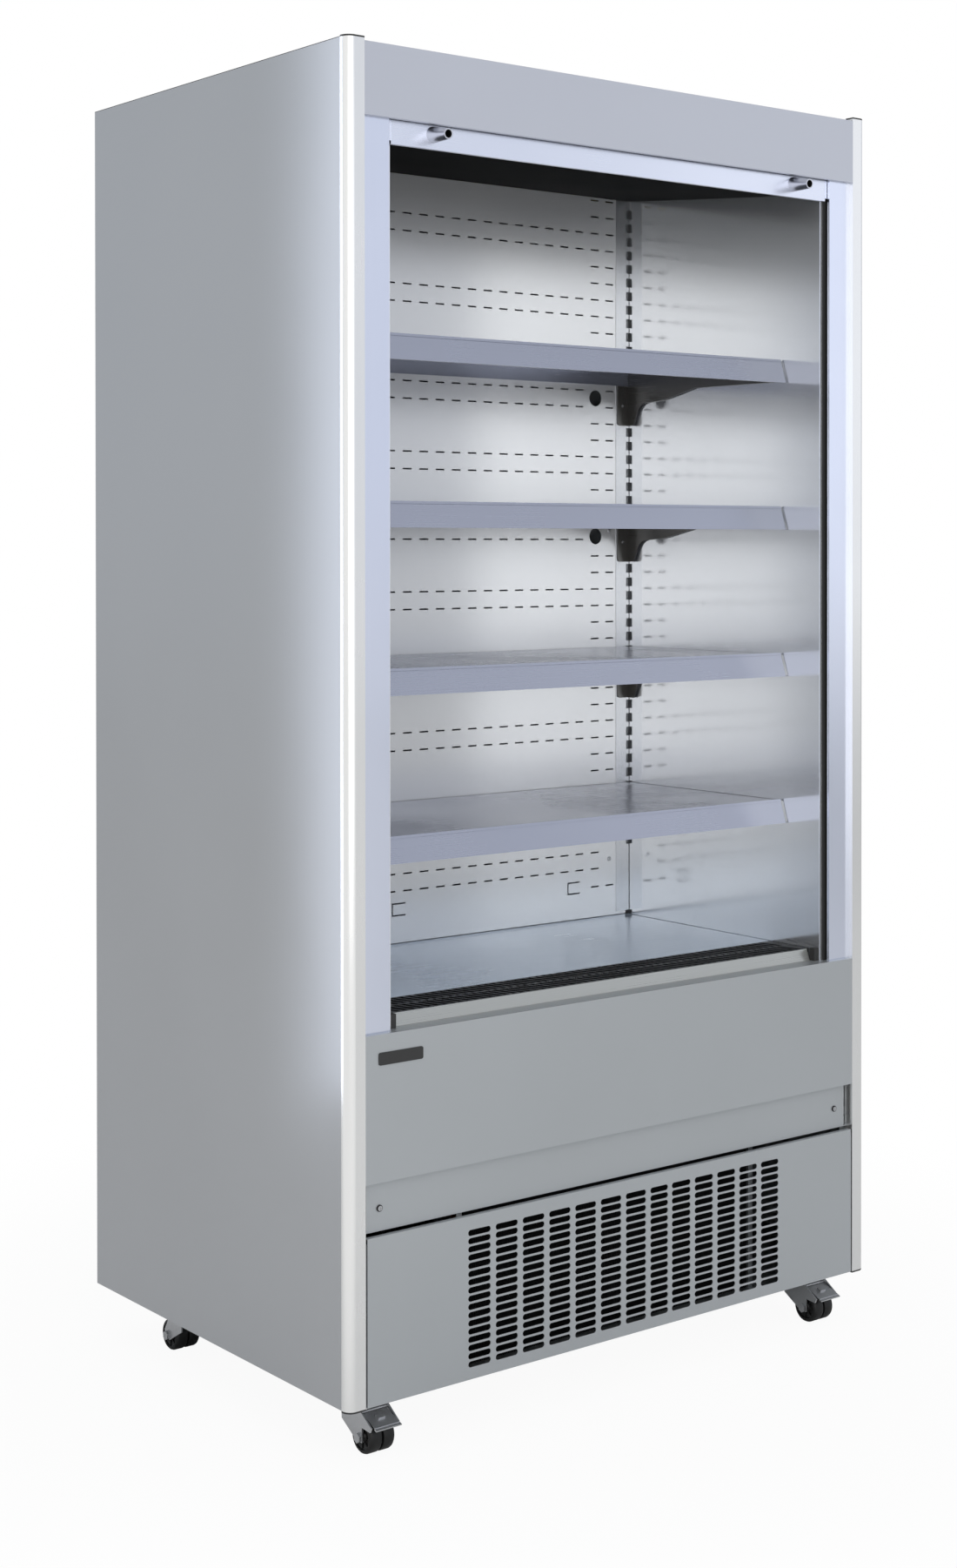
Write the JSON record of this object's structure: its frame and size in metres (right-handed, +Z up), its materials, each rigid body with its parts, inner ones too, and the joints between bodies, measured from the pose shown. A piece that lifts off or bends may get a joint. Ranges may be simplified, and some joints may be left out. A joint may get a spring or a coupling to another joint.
{
  "type": "open multideck display fridge",
  "caption": "Upright open-front refrigerated display cabinet with shelves, night blind, vented machine space and braked castors.",
  "frame": {"origin": "on the floor, at the middle of the overall box in plan", "axes": "+Z up; -Y is the open front, where the shelves face; +X is to the right seen from the front"},
  "size_m": [1.066, 0.7584, 2.0325],
  "materials": {
    "silver_panel": "satin",
    "post_metal": "satin",
    "stainless": "polished",
    "black_sheet": "matte",
    "black_plastic": "matte",
    "blind_metal": "satin",
    "curtain": "satin",
    "foam": "matte",
    "galvanised": "satin",
    "coil": "satin",
    "fan_plastic": "matte",
    "compressor_shell": "satin",
    "tray_plastic": "matte",
    "zinc": "satin",
    "wheel_black": "satin"
  },
  "bodies": {
    "cabinet": {"base_frame": "galvanised", "left_side_panel": "silver_panel", "right_side_panel": "silver_panel", "foam_insulation": "foam", "rear_cover": "galvanised", "top_cover": "galvanised", "left_corner_post": "post_metal", "right_corner_post": "post_metal", "post_end_caps": "black_plastic", "fascia_panel": "silver_panel", "front_frames": "stainless", "front_panel": "silver_panel", "service_strip": "silver_panel", "service_strip_screws": "zinc", "vent_panel": "silver_panel", "blank_plate": "black_plastic", "inner_walls": "stainless", "duct_wall": "stainless", "upper_back_panel": "stainless", "main_back_panel": "stainless", "lower_duct_panel": "stainless", "shelf_uprights": "stainless", "canopy_panel": "black_sheet", "air_outlet_grille": "black_plastic", "shelf_brackets": "stainless", "deck_supports": "stainless", "front_sill": "stainless", "sill_end_blocks": "black_plastic", "blind_cassette": "galvanised", "blind_guides": "black_plastic", "condenser": "coil", "condenser_fan_shroud": "galvanised", "compressor": "compressor_shell", "condensate_drain": "tray_plastic", "control_box": "tray_plastic", "evaporator": "coil", "evaporator_fan_plate": "galvanised", "caster_plates": "zinc"},
    "blind": {"blind_bar": "blind_metal", "blind_knobs": "blind_metal", "blind_curtain": "curtain"},
    "roller": {"blind_roller": "blind_metal"},
    "deck": {"deck_panel": "stainless"},
    "return_grille": {"air_return_grille": "black_plastic"},
    "condenser_fan": {"condenser_fan": "fan_plastic"},
    "evaporator_fan": {"evaporator_fan": "fan_plastic"},
    "shelf_1": {"shelf_1": "stainless"},
    "shelf_2": {"shelf_2": "stainless"},
    "shelf_3": {"shelf_3": "stainless"},
    "shelf_4": {"shelf_4": "stainless"},
    "front_left_fork": {"front_left_fork": "zinc"},
    "front_left_wheel": {"front_left_wheel": "wheel_black"},
    "front_right_fork": {"front_right_fork": "zinc"},
    "front_right_wheel": {"front_right_wheel": "wheel_black"},
    "rear_left_fork": {"rear_left_fork": "zinc"},
    "rear_left_wheel": {"rear_left_wheel": "wheel_black"},
    "rear_right_fork": {"rear_right_fork": "zinc"},
    "rear_right_wheel": {"rear_right_wheel": "wheel_black"},
    "left_brake_pedal": {"left_brake_pedal": "zinc"},
    "right_brake_pedal": {"right_brake_pedal": "zinc"}
  },
  "joints": [
    {"name": "blind_slide", "type": "slide", "parent": "cabinet", "child": "blind", "axis": [0, 0, -1], "range_m": [0, 1.272], "stiffness_N_per_m": 8, "springref_m": -2, "deforming": ["blind_curtain"]},
    {"name": "roller_turn", "type": "hinge", "parent": "cabinet", "child": "roller", "pos_m": [0, -0.3144, 1.985], "axis": [1, 0, 0], "range_deg": [-5, 3175]},
    {"name": "deck_lift", "type": "slide", "parent": "cabinet", "child": "deck", "axis": [0, 0, 1], "range_m": [0, 0.06]},
    {"name": "return_grille_lift", "type": "slide", "parent": "cabinet", "child": "return_grille", "axis": [0, 0, 1], "range_m": [0, 0.03]},
    {"name": "condenser_fan_spin", "type": "hinge", "parent": "cabinet", "child": "condenser_fan", "pos_m": [0, -0.23075, 0.207], "axis": [0, 1, 0], "continuous": true},
    {"name": "evaporator_fan_spin", "type": "hinge", "parent": "cabinet", "child": "evaporator_fan", "pos_m": [0, -0.17575, 0.516], "axis": [0, 1, 0], "continuous": true},
    {"name": "shelf_1_lift", "type": "slide", "parent": "cabinet", "child": "shelf_1", "axis": [0, 0, 1], "range_m": [0, 0.04]},
    {"name": "shelf_2_lift", "type": "slide", "parent": "cabinet", "child": "shelf_2", "axis": [0, 0, 1], "range_m": [0, 0.04]},
    {"name": "shelf_3_lift", "type": "slide", "parent": "cabinet", "child": "shelf_3", "axis": [0, 0, 1], "range_m": [0, 0.04]},
    {"name": "shelf_4_lift", "type": "slide", "parent": "cabinet", "child": "shelf_4", "axis": [0, 0, 1], "range_m": [0, 0.04]},
    {"name": "front_left_swivel", "type": "hinge", "parent": "cabinet", "child": "front_left_fork", "pos_m": [-0.457, -0.28625, 0.07], "axis": [0, 0, 1], "continuous": true},
    {"name": "front_left_roll", "type": "hinge", "parent": "front_left_fork", "child": "front_left_wheel", "pos_m": [-0.457, -0.30825, 0.025], "axis": [1, 0, 0], "continuous": true},
    {"name": "front_right_swivel", "type": "hinge", "parent": "cabinet", "child": "front_right_fork", "pos_m": [0.457, -0.28625, 0.07], "axis": [0, 0, 1], "continuous": true},
    {"name": "front_right_roll", "type": "hinge", "parent": "front_right_fork", "child": "front_right_wheel", "pos_m": [0.457, -0.30825, 0.025], "axis": [1, 0, 0], "continuous": true},
    {"name": "rear_left_swivel", "type": "hinge", "parent": "cabinet", "child": "rear_left_fork", "pos_m": [-0.457, 0.21375, 0.07], "axis": [0, 0, 1], "continuous": true},
    {"name": "rear_left_roll", "type": "hinge", "parent": "rear_left_fork", "child": "rear_left_wheel", "pos_m": [-0.457, 0.23575, 0.025], "axis": [1, 0, 0], "continuous": true},
    {"name": "rear_right_swivel", "type": "hinge", "parent": "cabinet", "child": "rear_right_fork", "pos_m": [0.457, 0.21375, 0.07], "axis": [0, 0, 1], "continuous": true},
    {"name": "rear_right_roll", "type": "hinge", "parent": "rear_right_fork", "child": "rear_right_wheel", "pos_m": [0.457, 0.23575, 0.025], "axis": [1, 0, 0], "continuous": true},
    {"name": "left_brake", "type": "hinge", "parent": "front_left_fork", "child": "left_brake_pedal", "pos_m": [-0.457, -0.30625, 0.0593], "axis": [1, 0, 0], "range_deg": [-12, 0]},
    {"name": "right_brake", "type": "hinge", "parent": "front_right_fork", "child": "right_brake_pedal", "pos_m": [0.457, -0.30625, 0.0593], "axis": [1, 0, 0], "range_deg": [-12, 0]}
  ],
  "couplings": [
    {"joint": "roller_turn", "follows": "blind_slide", "rad_per_m": 43.478}
  ]
}
